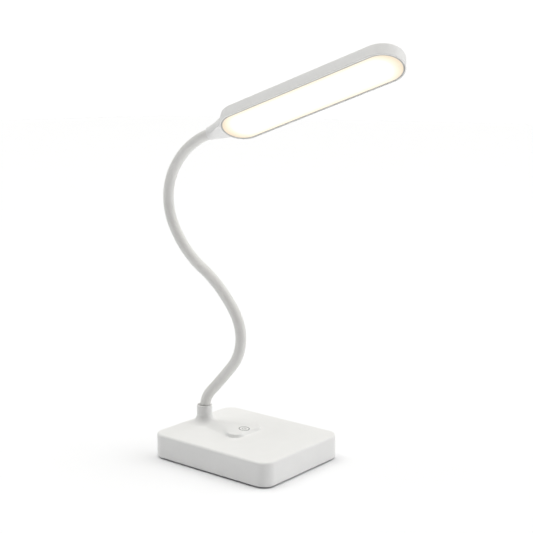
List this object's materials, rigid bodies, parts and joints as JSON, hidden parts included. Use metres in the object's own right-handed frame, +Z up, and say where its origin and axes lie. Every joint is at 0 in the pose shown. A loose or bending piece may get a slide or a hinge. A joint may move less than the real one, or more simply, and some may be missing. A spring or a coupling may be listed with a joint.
{
  "type": "desk reading lamp",
  "caption": "Rechargeable desk reading lamp: slab base with touch switch, S-bent silicone gooseneck and a slim capsule-shaped light head with a warm white diffuser.",
  "frame": {"origin": "middle of the non-slip pad underneath the base, at the level of the table", "axes": "+Z up, +X from the collar at the back of the base towards its front, +Y across the base"},
  "size_m": [0.2536, 0.1124, 0.3831],
  "materials": {
    "white_shell": "white ABS, fine moulded grain, satin",
    "white_silicone": "white silicone sleeve, matt",
    "grey_rubber": "dark grey non-slip foam rubber, matt",
    "zinc_steel": "zinc-plated steel",
    "brass": "turned brass",
    "board_green": "green circuit board",
    "board_white": "white reflector film and white circuit board",
    "cell_film": "laminated aluminium pouch film",
    "foam": "dark adhesive foam",
    "cable_jacket": "white soft cable jacket",
    "milky_diffuser": "milky diffuser, lit warm white",
    "print_grey": "printed grey ink",
    "copper": "bare copper"
  },
  "bodies": {
    "base": {"base_ferrule": "brass", "base_pad": "grey_rubber", "base_plate": "white_shell", "base_screw_1": "zinc_steel", "base_screw_2": "zinc_steel", "base_screw_3": "zinc_steel", "base_screw_4": "zinc_steel", "base_shell": "white_shell", "battery_cell": "cell_film", "battery_foam_pad": "foam", "battery_lead": "cable_jacket", "board_screw_1": "zinc_steel", "board_screw_2": "zinc_steel", "counterweight": "zinc_steel", "ferrule_nut": "brass", "lamp_cable_root": "cable_jacket", "main_board": "board_green", "neck_core_root": "zinc_steel", "neck_sleeve_root": "white_silicone", "touch_electrode": "copper", "touch_lead": "cable_jacket", "touch_mark": "print_grey", "touch_ring": "print_grey", "usb_c_socket": "zinc_steel", "weight_screw_1": "zinc_steel", "weight_screw_2": "zinc_steel"},
    "neck_link_1": {"lamp_cable_1": "cable_jacket", "neck_core_1": "zinc_steel", "neck_sleeve_1": "white_silicone"},
    "neck_link_2": {"lamp_cable_2": "cable_jacket", "neck_core_2": "zinc_steel", "neck_sleeve_2": "white_silicone"},
    "neck_link_3": {"lamp_cable_3": "cable_jacket", "neck_core_3": "zinc_steel", "neck_sleeve_3": "white_silicone"},
    "neck_link_4": {"lamp_cable_4": "cable_jacket", "neck_core_4": "zinc_steel", "neck_sleeve_4": "white_silicone"},
    "neck_link_5": {"lamp_cable_5": "cable_jacket", "neck_core_5": "zinc_steel", "neck_sleeve_5": "white_silicone"},
    "neck_link_6": {"lamp_cable_6": "cable_jacket", "neck_core_6": "zinc_steel", "neck_sleeve_6": "white_silicone"},
    "head": {"diffuser": "milky_diffuser", "head_ferrule": "brass", "head_housing": "white_shell", "lamp_cable_tip": "cable_jacket", "led_board": "board_white", "neck_core_tip": "zinc_steel", "neck_sleeve_tip": "white_silicone", "reflector_tray": "board_white"}
  },
  "joints": [
    {"name": "neck_bend_1_fore_aft", "type": "hinge", "parent": "base", "child": "neck_link_1", "pos_m": [-0.05188, 0, 0.0438], "axis": [0, 1, 0], "range_deg": [-25, 10]},
    {"name": "neck_bend_2_sideways", "type": "hinge", "parent": "neck_link_1", "child": "neck_link_2", "pos_m": [-0.01678, 0, 0.08651], "axis": [-0.7523, 0, 0.6588], "range_deg": [-25, 25]},
    {"name": "neck_bend_3_fore_aft", "type": "hinge", "parent": "neck_link_2", "child": "neck_link_3", "pos_m": [-0.01352, 0, 0.13832], "axis": [0, 1, 0], "range_deg": [-25, 25]},
    {"name": "neck_bend_4_sideways", "type": "hinge", "parent": "neck_link_3", "child": "neck_link_4", "pos_m": [-0.05386, 0, 0.17631], "axis": [-0.509, 0, -0.8607], "range_deg": [-25, 25]},
    {"name": "neck_bend_5_fore_aft", "type": "hinge", "parent": "neck_link_4", "child": "neck_link_5", "pos_m": [-0.09189, 0, 0.21627], "axis": [0, 1, 0], "range_deg": [-25, 25]},
    {"name": "neck_bend_6_sideways", "type": "hinge", "parent": "neck_link_5", "child": "neck_link_6", "pos_m": [-0.08966, -0.00031, 0.26953], "axis": [-0.8415, 0.0438, 0.5384], "range_deg": [-25, 25]},
    {"name": "head_tilt", "type": "hinge", "parent": "neck_link_6", "child": "head", "pos_m": [-0.04687, 0.00173, 0.30373], "axis": [-0.1305, 0.9914, 0], "range_deg": [-25, 25]}
  ]
}
